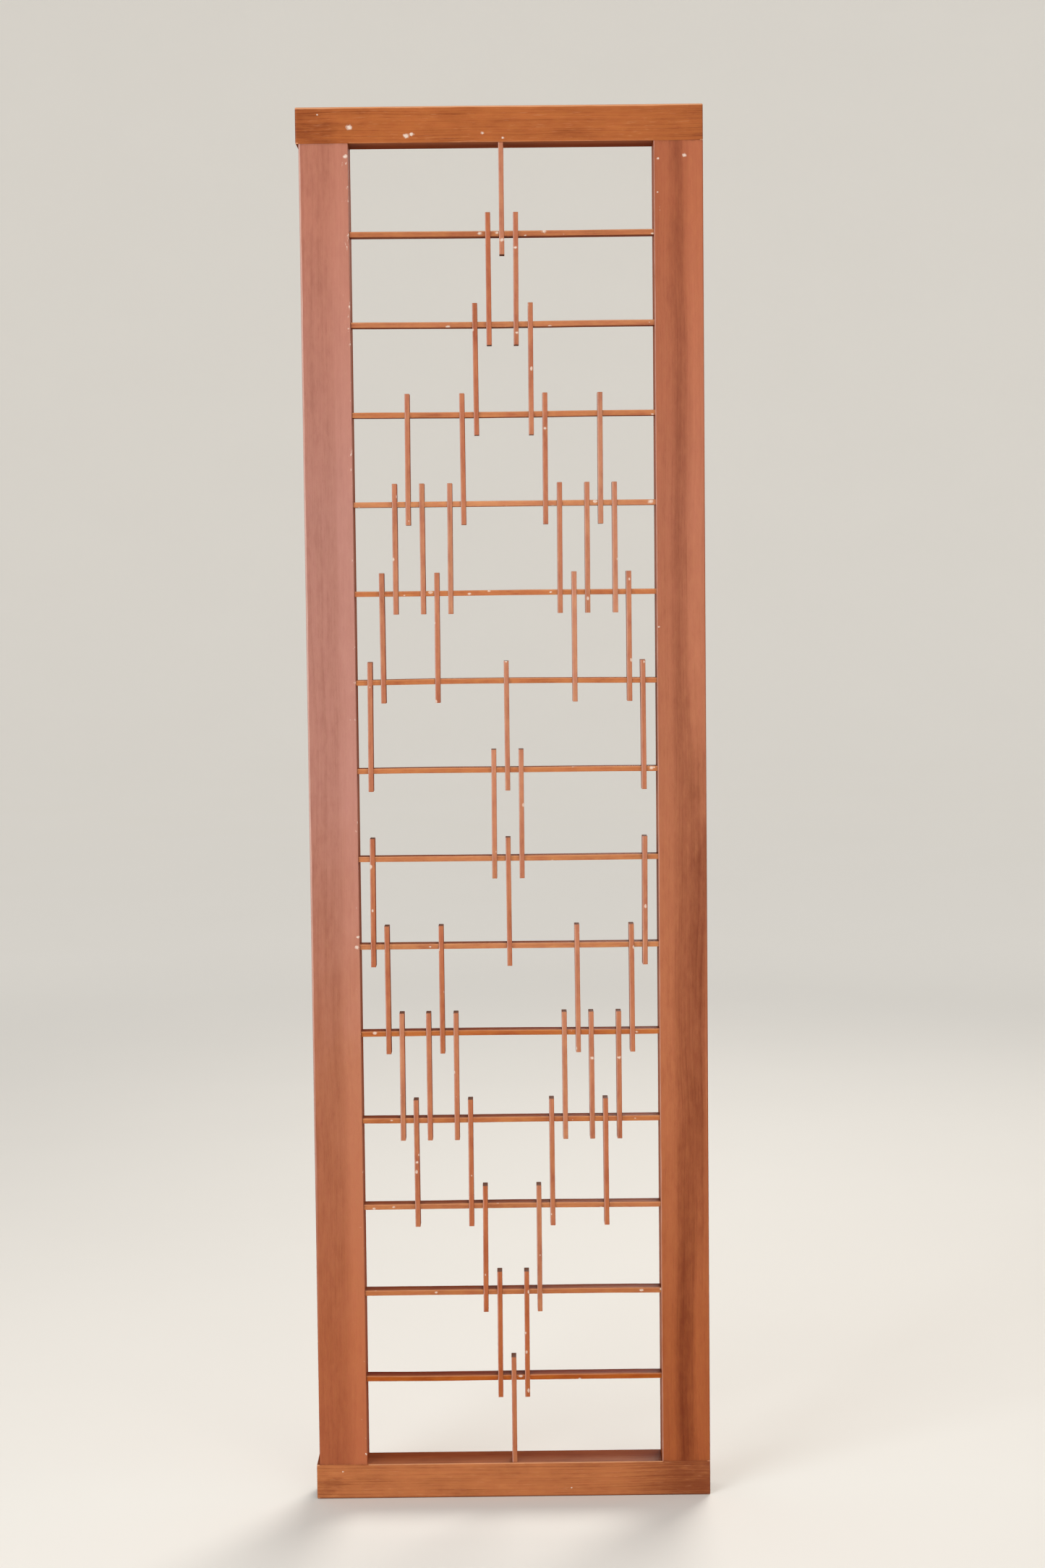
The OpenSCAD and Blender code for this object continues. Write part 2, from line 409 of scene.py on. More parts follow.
def frame_member(node, radii, covered, sockets, tenon, nooks, spacing, end_rounding):
    """A rail or stile. Its section lies across p, which points to the opening, and q, which is
    depth. Its ring follows the rounded rectangle of section(), scaled down to the tenon beyond
    the shoulders. Inside a socket the points of the opening's face are pushed in by its length.
    covered are the ranges where another timber stands against the opening's face and keeps its
    arrises crisp."""
    sign, rubs_and_highlights, board = FRAME[node]
    run, push = axes(node)
    low, high = edges(node)
    centre, half = (low + high) / 2, (high - low) / 2
    start, end = low[run], high[run]
    cuts = sorted({q for s in sockets for q in s[1]})
    steps = [u for s in sockets for u in s[0]] + (list(tenon[0]) if tenon else [])
    rim = end_rounding * np.array((0.01, 0.05, 0.14, 0.3, 0.55, 1.0) if end_rounding else ())
    at, side = places(start, end, spacing, steps, rim)
    half_p, half_q = np.full(len(at), half[push]), np.full(len(at), half[1])
    radii = np.stack([line(at) for line in radii], axis=1)
    shut = within(at, side, covered)
    radii[:, :2] = np.where(shut[:, None], COVERED_ROUNDING, radii[:, :2])
    if tenon:
        body = within(at, side, [tenon[0]])
        half_p = np.where(body, half_p, tenon[1])
        half_q = np.where(body, half_q, tenon[2])
        radii = np.where(body[:, None], radii, TENON_ROUNDING)
    near, inset = end_inset(at, start, end, end_rounding)
    half_p, half_q = half_p - inset, half_q - inset
    radii = np.clip(radii - 0.5 * inset[:, None], COVERED_ROUNDING, None)
    plain = (0.01, 0.035, 0.08, 0.2, 0.35, 0.5, 0.65, 0.8, 0.92, 0.965, 0.99)
    doubled = np.repeat(np.array(cuts), 2)
    arc_steps, lead = 4, [0.01, 0.05]
    mouth = lead + [0.5] * len(doubled) + [0.95, 0.99]
    p, q, far = section(half_p, half_q, radii, (mouth, plain, plain, plain), arc_steps)
    # the opening's face gets its points at the depths where the sockets begin and end
    first = arc_steps + 1 + len(lead)
    last = first + len(doubled)
    reach = (half_q - np.maximum(radii[:, 0], radii[:, 1])) * 0.97
    for k, depth in enumerate(doubled):
        q[:, first + k] = np.clip(depth, -reach, reach)
        far[:, first + k] = half_q - np.abs(q[:, first + k])
    q[:, first - 1] = np.minimum(q[:, first - 1], q[:, first])
    q[:, last] = np.maximum(q[:, last], q[:, last - 1])
    for span, (shallow, deep), length in sockets:
        inside = within(at, side, [span])
        left, right = first + 2 * cuts.index(shallow) + 1, first + 2 * cuts.index(deep)
        p[:, left:right + 1] -= np.where(inside, length, 0)[:, None]
    toward, front = p / half_p[:, None], q / half_q[:, None]
    # rubbing and painted highlight, most on the arrises that face the light; in full at rail ends
    rub_and_highlight = np.where(toward > 0, np.where(front < 0, rubs_and_highlights[0], rubs_and_highlights[1]),
                   np.where(front < 0, rubs_and_highlights[3], rubs_and_highlights[2]))
    rub_and_highlight = np.where(shut[:, None] & (toward > 0.5), 0.1, rub_and_highlight)
    rub_and_highlight = np.maximum(rub_and_highlight, END_RUB_AND_HIGHLIGHT * (near < 2 * end_rounding)[:, None])
    to_arris = np.abs(half_p[:, None] - p) + np.abs(half_q[:, None] + q)
    rings = lay(run, at, centre[1] + q, centre[push] + sign * p)
    return rings, carry(far, rub_and_highlight, np.exp(-to_arris / CHIP_REACH), at, nooks, board,
                        near < 0.06 * end_rounding)


def stick(is_bar, line, start, end, depth, half_p, half_q, arris, tenons, notches, nooks, board,
          rng):
    """A bar or strip. Its ring is the rounded rectangle of section() carried along a line that
    wanders across the panel. Beyond each shoulder it narrows to its stub tenon. Inside a notch
    its points are held to one half of the depth, the back of a bar and the front of a strip. The
    upper edge of a bar and the left edge of a strip face the light and get the most rubbing and
    painted highlight."""
    steps = [u for n in notches for u in n] + list(tenons)
    rim = STICK_END_ROUNDING * np.array((0.05, 0.3, 1.0))
    at, side = places(start, end, 3 * MM, steps, rim)
    body = np.ones(len(at), bool)
    if len(tenons):
        low = min([t for t in tenons if t < (start + end) / 2], default=start - 1)
        high = max([t for t in tenons if t > (start + end) / 2], default=end + 1)
        body = within(at, side, [(low, high)])
    uneven = 1 + drift(at, 17 * MM, 0.018, rng)
    half_p = np.where(body, half_p * uneven, half_p - STUB_SHOULDER)
    half_q = np.where(body, half_q, half_q - STUB_CHEEK)
    radii = np.where(body, arris * (1 + drift(at, 6 * MM, 0.35, rng)), arris)
    near, inset = end_inset(at, start, end, STICK_END_ROUNDING)
    face, before, behind = (0.06, 0.5, 0.94), (0.03, 0.5), (0.5, 0.97)
    sides = (behind, face, before, face) if is_bar else (before, face, behind, face)
    radii = np.repeat(radii[:, None], 4, 1)
    p, q, far = section(half_p - inset, half_q - inset, radii, sides, 2)
    held = np.maximum(q, 0) if is_bar else np.minimum(q, 0)
    q = np.where(within(at, side, notches)[:, None], held, q)
    rings = lay(0 if is_bar else 2, at, depth + q, line(at)[:, None] + p)
    rub_and_highlight = np.where((p > 0) if is_bar else (p < 0), 1.1, 0.45) * np.where(q < 0, 1.0, 0.6)
    cut = near < 0.2 * STICK_END_ROUNDING
    return rings, carry(far, rub_and_highlight, np.zeros_like(p), at, nooks, board, cut)


# ---------------------------------------------------------------- the lattice's lines


class Lattice:
    """Where every bar and strip runs. A bar's line is its height plus three sine waves that are
    zero at both stiles. A strip's line is its column plus a small shift and lean."""

    def __init__(self):
        style = look().lattice
        self.left = edges("left_stile")[1][0]
        self.right = edges("right_stile")[0][0]
        self.floor = edges("bottom_rail")[1][2]
        self.ceiling = edges("top_rail")[0][2]
        rng = np.random.default_rng(look().seed)
        self.bars = {}
        for name in BAR_NAMES:
            low, high = edges(name)
            sizes = rng.uniform(-1, 1, 3) * style.bar_wave * (1, 0.5, 0.25)
            if name == BENT_BAR:
                sizes[0] = BENT_BAR_RISE
            self.bars[name] = {"low": low, "high": high, "z": (low[2] + high[2]) / 2, "sizes": sizes}
        self.strips = {}
        for name in STRIP_NAMES:
            low, high = edges(name)
            middles = [(low[0] + high[0]) / 2]
            if high[0] - low[0] > 1.5 * STRIP_WIDTH:
                middles = [low[0] + STRIP_WIDTH / 2, high[0] - STRIP_WIDTH / 2]
            # a strip that stands in a rail is held upright by its tenon
            held = low[2] < self.floor or high[2] > self.ceiling
            lean = 0 if held else style.strip_lean
            self.strips[name] = [
                {"low": low[2], "high": high[2], "x": x, "shift": rng.uniform(-0.5, 0.5) * lean,
                 "lean": rng.uniform(-1, 1) * lean, "board": rng.uniform(0, 1)} for x in middles]

    def bar_line(self, name, x):
        """Height of a bar's centre at x."""
        share = np.clip((x - self.left) / (self.right - self.left), 0, 1)
        waves = sum(size * np.sin(math.pi * (k + 1) * share)
                    for k, size in enumerate(self.bars[name]["sizes"]))
        return self.bars[name]["z"] + waves

    def strip_line(self, strip, z):
        """Place across the panel of a strip's centre at height z."""
        middle = (strip["low"] + strip["high"]) / 2
        half = (strip["high"] - strip["low"]) / 2
        return strip["x"] + strip["shift"] + strip["lean"] * (z - middle) / half

    def bars_across(self, strip):
        """Names of the bars that a strip crosses."""
        return [n for n in BAR_NAMES if strip["low"] < self.bars[n]["z"] < strip["high"]]

    def strips_over(self, bar):
        """All the strips that cross a bar."""
        z = self.bars[bar]["z"]
        return [s for group in self.strips.values() for s in group if s["low"] < z < s["high"]]


# ---------------------------------------------------------------- shader


class Wire:
    """An output of a node. Arithmetic with wires and numbers adds Math nodes."""

    def __init__(self, graph, socket):
        self.graph = graph
        self.socket = socket

    def __add__(self, other):
        return self.graph.maths("ADD", self, other)

    def __sub__(self, other):
        return self.graph.maths("SUBTRACT", self, other)

    def __rsub__(self, other):
        return self.graph.maths("SUBTRACT", other, self)

    def __mul__(self, other):
        return self.graph.maths("MULTIPLY", self, other)

    def __truediv__(self, other):
        return self.graph.maths("DIVIDE", self, other)

    def __pow__(self, other):
        return self.graph.maths("POWER", self, other)

    __radd__ = __add__
    __rmul__ = __mul__


class Graph:
    """The nodes of one finish."""

    COLUMNS = 12

    def __init__(self, name):
        self.material = bpy.data.materials.new(name)
        self.material.use_nodes = True
        self.tree = self.material.node_tree
        self.tree.nodes.clear()

    def node(self, kind, settings=None, inputs=None, output=0):
        """Adds a node. Its settings come first, then the values or links of its sockets. Returns
        the output that is asked for."""
        made = self.tree.nodes.new("ShaderNode" + kind)
        count = len(self.tree.nodes) - 1
        made.location = (220 * (count % self.COLUMNS), -260 * (count // self.COLUMNS))
        for key, value in (settings or {}).items():
            if key == "stops":
                self.set_stops(made.color_ramp, value)
            else:
                setattr(made, key, value)
        for key, value in (inputs or {}).items():
            if isinstance(value, Wire):
                self.tree.links.new(value.socket, made.inputs[key])
            else:
                made.inputs[key].default_value = value
        return Wire(self, made.outputs[output]) if len(made.outputs) else None

    @staticmethod
    def set_stops(ramp, stops):
        """Gives a colour ramp its stops, each a place and a colour."""
        while len(ramp.elements) < len(stops):
            ramp.elements.new(1)
        for element, (place, colour) in zip(ramp.elements, stops):
            element.position = place
            element.color = (*colour, 1)

    def maths(self, operation, first, second=0.0):
        """A Math node of one or two numbers."""
        return self.node("Math", {"operation": operation}, {0: first, 1: second})

    def vector(self, x, y, z):
        """A vector of three numbers."""
        return self.node("CombineXYZ", {}, {0: x, 1: y, 2: z})

    def noise(self, x, y, z, detail=2.0, roughness=0.5):
        """Noise of about 0 to 1, one lump to a unit of x, y and z."""
        return self.node("TexNoise", {}, {"Vector": self.vector(x, y, z), "Scale": 1.0,
                                          "Detail": detail, "Roughness": roughness})

    def pattern(self, key, x, y, z):
        """One of the noise patterns."""
        first, others, detail, roughness = PATTERNS[key]
        return self.noise(x * first, y * others, z * others, detail, roughness)

    def rise(self, value, low, high):
        """0 below low, 1 above high, and a smooth step between them."""
        return self.node("MapRange", {"interpolation_type": "SMOOTHSTEP"},
                         {"Value": value, "From Min": low, "From Max": high})

    def attribute(self, name):
        """A value that the mesh's points carry."""
        return self.node("Attribute", {"attribute_name": name}, output="Fac")

    def ramp(self, value, stops):
        """Colour that a value picks from stops, each a place and a colour."""
        return self.node("ValToRGB", {"stops": stops}, {0: value})

    def finish(self, inputs):
        """Ends the graph with a Principled shader and the material's output."""
        self.node("OutputMaterial", {}, {"Surface": self.node("BsdfPrincipled", {}, inputs)})

    def blend(self, share, first, second, kind="MIX"):
        """Colour between first and second, or their product and so on."""
        first = first if isinstance(first, Wire) else (*first, 1)
        second = second if isinstance(second, Wire) else (*second, 1)
        return self.node("Mix", {"data_type": "RGBA", "blend_type": kind, "clamp_factor": True},
                         {0: share, 6: first, 7: second}, output=2)

    def other(self, wire, output):
        """Another output of the node that a wire comes from."""
        return Wire(self, wire.socket.node.outputs[output])

    def split(self, vector):
        """The three parts of a vector."""
        first = self.node("SeparateXYZ", {}, {0: vector})
        return first, self.other(first, 1), self.other(first, 2)

    def facing(self):
        """How far the surface faces the front, the back and the left."""
        across, deep, _ = self.split(self.node("NewGeometry", output="Normal"))
        return (1 - self.rise(deep, -0.9, -0.25), self.rise(deep, 0.25, 0.9),
                1 - self.rise(across, -0.9, -0.25))


# How dark the stain lies: multiplies the stain's colour from the darkest grain to the palest
GRAIN_STOPS = ((0.0, (0.40, 0.27, 0.20)), (0.5, (0.80, 0.75, 0.71)), (1.0, (1.0, 1.0, 1.0)))
# Painted shade: what the faces beside the front multiply the stain by
SIDE_SHADE_TINT = (0.44, 0.23, 0.09)
# Stain on end grain
END_GRAIN = (0.11, 0.038, 0.018)
# How far one board's pattern stands from the next one's, along and across, in millimetres
BOARD_SHIFT = 731
BOARD_SHIFT_ACROSS = 53

# Noise patterns: lumps to a millimetre along the board and across it, detail, and roughness
PATTERNS = {
    "fibre": (0.045, 3.6, 3, 0.6),
    "pore": (0.22, 6, 1, 0.5),
    "cloud": (0.028, 0.075, 3, 0.6),
    "mottle": (0.09, 0.30, 4, 0.65),
    "rub_and_highlight": (0.05, 0.3, 4, 0.7),
    "dash": (0.13, 1.5, 2, 0.5),
    "dirt": (0.35, 0.35, 3, 0.5),
    "ragged": (0.8, 0.8, 4, 0.7),
    "crumbs": (2.2, 2.2, 2, 0.5),
}


class Places:
    """Where a point of a timber is, in millimetres, as wires. run goes along the board, face goes
    across its front, and run_board is run with a shift that differs from board to board."""

    def __init__(self, graph, along):
        self.x, self.y, self.z = (axis * 1000 for axis in graph.split(
            graph.node("TexCoord", output="Object")))
        self.run, self.face = (self.x, self.z) if along == "X" else (self.z, self.x)
        self.board = graph.attribute("board")
        self.run_board = self.run + self.board * BOARD_SHIFT


def grain(g, at, ring):
    """Growth lines, hair lines and streaks.

    Slow noise sways the distance across the board. A growth line is a ramp over that distance
    that starts again every ring millimetres and is raised to the sixth power, so that it is dark
    on one side only. Noise crowds the lines and breaks them up. Hair lines and streaks are noise
    drawn out along the board.
    """
    sway = g.noise(at.run_board * 0.007, at.face * 0.02, at.y * 0.02, detail=1) - 0.5
    across = at.face + at.y * 0.55 + sway * 9 + at.board * BOARD_SHIFT_ACROSS
    crowd = g.noise(at.run_board * 0.0015, across * 0.13, 0.0, detail=1)
    patchy = g.rise(g.noise(at.run_board * 0.022, across * 0.5, 3.0, detail=2), 0.35, 0.65)
    late = g.maths("FRACT", across / ring + crowd * 3.1) ** 6 * (0.35 + patchy)
    hair = g.noise(at.run_board * 0.016, across * 2.1, 7.0, detail=2, roughness=0.6)
    streak = g.noise(at.run_board * 0.006, across * 0.30, at.y * 0.15, detail=3) - 0.5
    return late, g.rise(hair, 0.56, 0.70), streak, sway * 4 + streak * 3


def flecks(g, at, spots, chips, specks, ahead):
    """How much paint lies on a point. A spot, given by x, z and radius, is a disc that is wider
    along x and frayed by noise. Chips lie beside the opening's arris. Specks are the cores of
    some cells of a Voronoi pattern on the front."""
    ragged = g.pattern("ragged", at.x, at.y, at.z) - 0.5
    crumbs = g.rise(g.pattern("crumbs", at.x, at.y, at.z), 0.30, 0.60)
    front = 1 - g.rise(at.y, FRONT_MM + 1.0, FRONT_MM + 3.0)
    marks = []
    for spot_x, spot_z, radius in spots:
        off_x, off_z = (at.x - spot_x) / (radius * 1.3), (at.z - spot_z) / radius
        distance = g.maths("SQRT", off_x * off_x + off_z * off_z) + ragged * 1.9
        marks.append((1 - g.rise(distance, 0.30, 1.25)) * front)
    if chips:
        inner = g.attribute("inner")
        lump = g.noise(at.x * 0.34, at.y * 0.34, at.z * 0.20, detail=3, roughness=0.65)
        upper = g.rise(at.z, 560.0, 900.0) * 0.05
        mark = g.rise(lump + inner * 0.12 + upper, 0.84 - chips, 0.93 - chips)
        marks.append(mark * g.rise(inner, 0.12, 0.45) * 0.85)
    if specks:
        cell = g.node("TexVoronoi", {"feature": "F1", "voronoi_dimensions": "2D"},
                      {"Vector": g.vector(at.run * 0.65, at.face, 0.0), "Scale": 0.11})
        chance = g.node("SeparateColor", {}, {0: g.other(cell, "Color")})
        size = 0.03 + chance * (0.10 / specks)
        chosen = 1 - g.rise(chance, specks, specks + 0.01)
        core = g.rise(size - g.other(cell, "Distance") + ragged * 0.09, 0.0, 0.05)
        marks.append(core * chosen * ahead * 0.8)
    fleck = marks[0]
    for mark in marks[1:]:
        fleck = g.maths("MAXIMUM", fleck, mark)
    return fleck * (0.6 + crumbs * 0.4)


def wood(name, along, colour, spots, ring, line, streak_size, cloud_size, fibre_size, level=0.62,
         mottle_size=0.3, dashes=0.0, patches=(), heights=(), chips=0.0, specks=0.0, worn_highlight_share=0.6,
         side_shade=0.9, shadowed_foot=False, rub_and_highlight_above=None):
    """A stained wood finish.

    The shade is level, plus each pattern times its size, minus the dark lines times line. It
    picks how much the stain is darkened. dashes is the strength of short pale dashes. patches are
    paler or darker places, each its place across the board and half width, its place along it
    and half length, and how much paler it is. heights are places up the panel, each with the
    red, green and blue that multiply the stain there: a painted cool sheen on the middle
    heights, and darker towards the bottom. spots, chips and specks are for flecks().
    worn_highlight_share is how far a rubbed arris turns to the worn colour, which paints a
    highlight as well as wear, and rub_and_highlight_above the heights between which that sets
    in. side_shade is how dark the painted shade on the faces beside the front is. A board with
    shadowed_foot gets a painted shadow along its foot.
    """
    age_and_light = look().age_and_light
    worn_highlight_colour = age_and_light.worn_highlight_colour if along == "X" else age_and_light.pale_worn_highlight_colour
    g = Graph(name + "_wood")
    at = Places(g, along)
    late, hair, streak, edge = grain(g, at, ring)
    fibre, cloud, mottle = (g.pattern(key, at.run_board, at.face, at.y) - 0.5
                            for key in ("fibre", "cloud", "mottle"))
    pore = g.rise(g.pattern("pore", at.run_board, at.face, at.y), 0.62, 0.74)
    shade = (level + streak * streak_size + cloud * cloud_size + fibre * fibre_size
             + mottle * mottle_size - late * line - hair * line * 0.55 - pore * 0.10)
    for middle, half_width, place, half_length, strength in patches:
        beside = g.maths("ABSOLUTE", at.face - middle + edge)
        beyond = g.maths("ABSOLUTE", at.run - place + cloud * 90)
        shape = (1 - g.rise(beside, half_width * 0.3, half_width * 1.5)) * (
            1 - g.rise(beyond, half_length * 0.3, half_length * 1.5))
        shade = shade + shape * strength
    stain = g.blend(1.0, colour, g.ramp(shade, GRAIN_STOPS), "MULTIPLY")
    # painted cool sheen on the middle heights, and the stain darker towards the bottom
    if heights:
        low, high = heights[0][0], heights[-1][0]
        stops = [((height - low) / (high - low), shown) for height, *shown in heights]
        place = (at.z + cloud * 60 - low) / (high - low)
        stain = g.blend(1.0, stain, g.ramp(place, stops), "MULTIPLY")
    # each board a little lighter or darker than the next
    stain = g.node("HueSaturation", {}, {
        "Hue": 0.497 + at.board * 0.006 + mottle * (mottle_size * 0.03),
        "Saturation": 1.04 - at.board * 0.10, "Value": 0.94 + at.board * 0.12, "Color": stain})
    # rubbed arrises, with a painted highlight on the arrises that face the light
    bare_and_lit = g.rise(g.attribute("worn") + g.pattern("rub_and_highlight", at.run, at.face, at.y) * 0.7, 0.75, 1.5)
    if rub_and_highlight_above:
        bare_and_lit = bare_and_lit * g.rise(at.z, *rub_and_highlight_above)
    stain = g.blend(bare_and_lit * worn_highlight_share, stain, worn_highlight_colour)
    if dashes:
        dash = g.rise(g.pattern("dash", at.run, at.face, at.y), 0.60, 0.76)
        stain = g.blend(dash * dashes, stain, worn_highlight_colour)
    # painted shade on the faces beside the front, deeper at the back and least on left faces
    ahead, behind, left = g.facing()
    lit_faces = g.maths("MAXIMUM", ahead, g.maths("MAXIMUM", behind * 0.6, left * 0.7))
    away = g.rise(at.y, FRONT_MM - 2.0, FRONT_MM + 18.0)
    shaded_sides = (1 - lit_faces) * (0.55 + away * 0.45)
    stain = g.blend(shaded_sides * side_shade, stain, g.blend(1.0, stain, SIDE_SHADE_TINT, "MULTIPLY"))
    # end grain drinks more stain
    stain = g.blend(g.attribute("cut") * 0.85, stain, END_GRAIN)
    # grime and painted shade beside the joints, and a painted shadow along a board's foot
    grime_and_shade = g.attribute("nook") * g.rise(g.pattern("dirt", at.run, at.face, at.y), 0.25, 0.7)
    if shadowed_foot:
        grime_and_shade = g.maths("MAXIMUM", grime_and_shade, 1.6 - g.rise(at.z, 0.2, 1.6) * 1.6)
    stain = g.blend(grime_and_shade * 0.45, stain, age_and_light.grime_and_shade_colour)
    fleck = flecks(g, at, spots, chips, specks, ahead)
    stain = g.blend(fleck * 0.75, stain, age_and_light.fleck_colour)
    rough = (0.46 + fibre * 0.18 + fleck * 0.25 + bare_and_lit * 0.08 + grime_and_shade * 0.15 - late * 0.05
             + shaded_sides * 0.35)
    height = fibre * 0.05 + late * 0.035 - pore * 0.05 + fleck * 0.18 + cloud * 0.05
    normal = g.node("Bump", {}, {"Strength": 0.6, "Distance": MM, "Height": height})
    g.finish({"Base Color": stain, "Roughness": rough, "Normal": normal, "Specular IOR Level": 0.0,
              "Coat Weight": 0.25 - shaded_sides * 0.20, "Coat Roughness": 0.35})
    return g.material


# Values for wood(), with lengths in millimetres
RAIL_WOOD = dict(ring=2.3, line=0.30, streak_size=0.55, cloud_size=0.95, fibre_size=0.65,
                 dashes=0.15, worn_highlight_share=0.82)
STICK_WOOD = dict(cloud_size=0.9, fibre_size=0.4, mottle_size=0.9, worn_highlight_share=0.45, side_shade=1.3)
WOODS = {
    "top_rail": dict(
        RAIL_WOOD,
        spots=((-100, 934.4, 1.7), (-62, 928.6, 1.6), (-58.5, 929.6, 1.3), (-11, 930, 0.9),
               (2.5, 926.6, 0.8), (-121, 943, 0.5)),
        patches=((936, 60, -136, 40, -0.26), (936, 60, 136, 26, -0.16), (940, 6, 20, 60, 0.06))),
    # the bottom rail gets a painted shadow along its foot
    "bottom_rail": dict(
        RAIL_WOOD, shadowed_foot=True, spots=((-118, 19, 0.6), (40, 6, 0.5)),
        patches=((12, 60, 136, 46, -0.52), (8, 8, -132, 14, -0.24), (18, 4, -100, 30, 0.10))),
    "left_stile": dict(
        ring=3.1, line=0.08, streak_size=0.28, cloud_size=0.35, fibre_size=0.22, level=0.5,
        chips=0.10, rub_and_highlight_above=(60, 420),
        spots=((-102.7, 915.5, 1.3), (-103, 384, 1.2), (-102, 391, 0.9)),
        patches=((-104, 9, 474, 2000, 0.28), (-104, 9, 100, 300, 0.26), (-104, 9, 930, 120, -0.10)),
        heights=((30, 0.82, 0.49, 0.26), (105, 0.85, 0.54, 0.29), (300, 0.87, 0.67, 0.48),
                 (490, 0.97, 0.95, 1.03), (680, 0.95, 0.95, 1.05), (885, 1.0, 0.86, 0.82),
                 (930, 0.98, 0.83, 0.76))),
    "right_stile": dict(
        ring=2.7, line=0.10, streak_size=0.32, cloud_size=0.35, fibre_size=0.22, level=0.55,
        chips=0.03,
        spots=((104.5, 600, 0.6), (105.9, 912, 0.8), (123.4, 914, 1.1), (105.5, 890, 0.5)),
        patches=((119.5, 6, 474, 2000, -0.22), (119.5, 6, 60, 260, -0.20),
                 (130, 6, 350, 170, -0.38), (131, 7, 770, 240, 0.36)),
        heights=((30, 0.78, 0.64, 0.38), (105, 0.82, 0.71, 0.46), (300, 0.97, 1.0, 0.93),
                 (490, 0.92, 1.0, 1.08), (680, 0.89, 0.95, 1.14), (885, 0.87, 0.80, 0.77))),
    "bar": dict(
        STICK_WOOD, ring=1.7, line=0.16, streak_size=0.5, specks=0.45,
        spots=((-13.6, 864, 1.1), (-2.2, 864.3, 0.9), (29.3, 865, 1.2), (99.3, 684.5, 1.4),
               (98.8, 504.5, 1.2)),
        heights=((60, 0.80, 0.68, 0.42), (300, 0.96, 1.04, 0.98), (560, 1.06, 1.28, 1.50),
                 (700, 1.08, 1.34, 1.70), (864, 0.88, 0.86, 0.80))),
    "strip": dict(
        STICK_WOOD, ring=1.9, line=0.10, streak_size=0.4, specks=0.38,
        spots=((1.3, 859.6, 1.2), (10.3, 854.5, 1.0), (10.6, 798, 0.8), (28.8, 734, 0.9),
               (56.8, 306, 1.0), (75.3, 306, 1.0), (-63.9, 235, 0.9)),
        heights=((60, 0.94, 0.82, 0.62), (450, 1.02, 1.05, 1.04), (620, 1.06, 1.20, 1.30),
                 (900, 1.0, 0.97, 0.96))),
}


# ---------------------------------------------------------------- operators


def worn_radius(radius, wear, rng, nicks=()):
    """An arris radius along a timber: a smooth random line round its nominal size, and larger
    at each nick, which has a place, a half width and a size."""
    phase = rng.uniform(0, 1, 3) * 7

    def line(at):
        """Three sine waves of falling size, times the wear, then a bell for each nick."""
        wave = sum(np.sin(at / (length * MM) + shift) * share for length, shift, share
                   in zip((31, 12, 4.3), phase, (0.5, 0.32, 0.18)))
        value = radius * (1 + wear * wave)
        for middle, half, size in nicks:
            value = value + size * np.exp(-((at - middle) / half) ** 2)
        return value

    return line


def arrises(style, back, front, front_wear, rng, nicks=()):
    """Radii of a rail's or stile's arrises, front and back of the opening and then back and front
    of the outside. back and front are shares of the outer radius."""
    return (
        worn_radius(style.inner_rounding, style.wear, rng, nicks),
        worn_radius(style.inner_rounding, style.wear, rng),
        worn_radius(style.outer_rounding * back, style.wear, rng),
        worn_radius(style.outer_rounding * front, style.wear * front_wear, rng),
    )


class LATTICEPANEL_OT_rails(bpy.types.Operator):
    """Make the top and bottom rails, with the mortises of the stiles and of the end strips"""

    bl_idname = "lattice_panel.rails"
    bl_label = "Rails"

    def execute(self, context):
        style = look().frame
        rng = np.random.default_rng(look().seed + 1)
        stiles = ("left_stile", "right_stile")
        covered = [(edges(stile)[0][0], edges(stile)[1][0]) for stile in stiles]
        for name, strip, nicks in (("top_rail", "strip_01_middle", NICKS),
                                   ("bottom_rail", "strip_15_middle", ())):
            radii = arrises(style, back=0.7, front=0.42, front_wear=1, rng=rng, nicks=nicks)
            finish = wood(name, "X", getattr(style, name + "_colour"), **WOODS[name])
            sockets = [socket(name, guest) for guest in (*stiles, strip)]
            part = frame_member(name, radii, covered, sockets, tenon=None, nooks=(),
                                spacing=1.5 * MM, end_rounding=style.end_rounding)
            make_timber(name, [part], finish)
        return {"FINISHED"}


class LATTICEPANEL_OT_stiles(bpy.types.Operator):
    """Make the two stiles, with their tenons and the mortises of the bars"""

    bl_idname = "lattice_panel.stiles"
    bl_label = "Stiles"

    def execute(self, context):
        style = look().frame
        rng = np.random.default_rng(look().seed + 2)
        shoulders = (edges("bottom_rail")[1][2], edges("top_rail")[0][2])
        tenon = (shoulders, STILE_TENON_HALF_WIDTH, STILE_TENON_HALF_DEPTH)
        for name in ("left_stile", "right_stile"):
            radii = arrises(style, back=0.8, front=0.6, front_wear=0.6, rng=rng)
            finish = wood(name, "Z", getattr(style, name + "_colour"), **WOODS[name])
            sockets = [socket(name, bar) for bar in BAR_NAMES]
            part = frame_member(name, radii, (), sockets, tenon, nooks=shoulders,
                                spacing=2 * MM, end_rounding=0)
            make_timber(name, [part], finish)
        return {"FINISHED"}


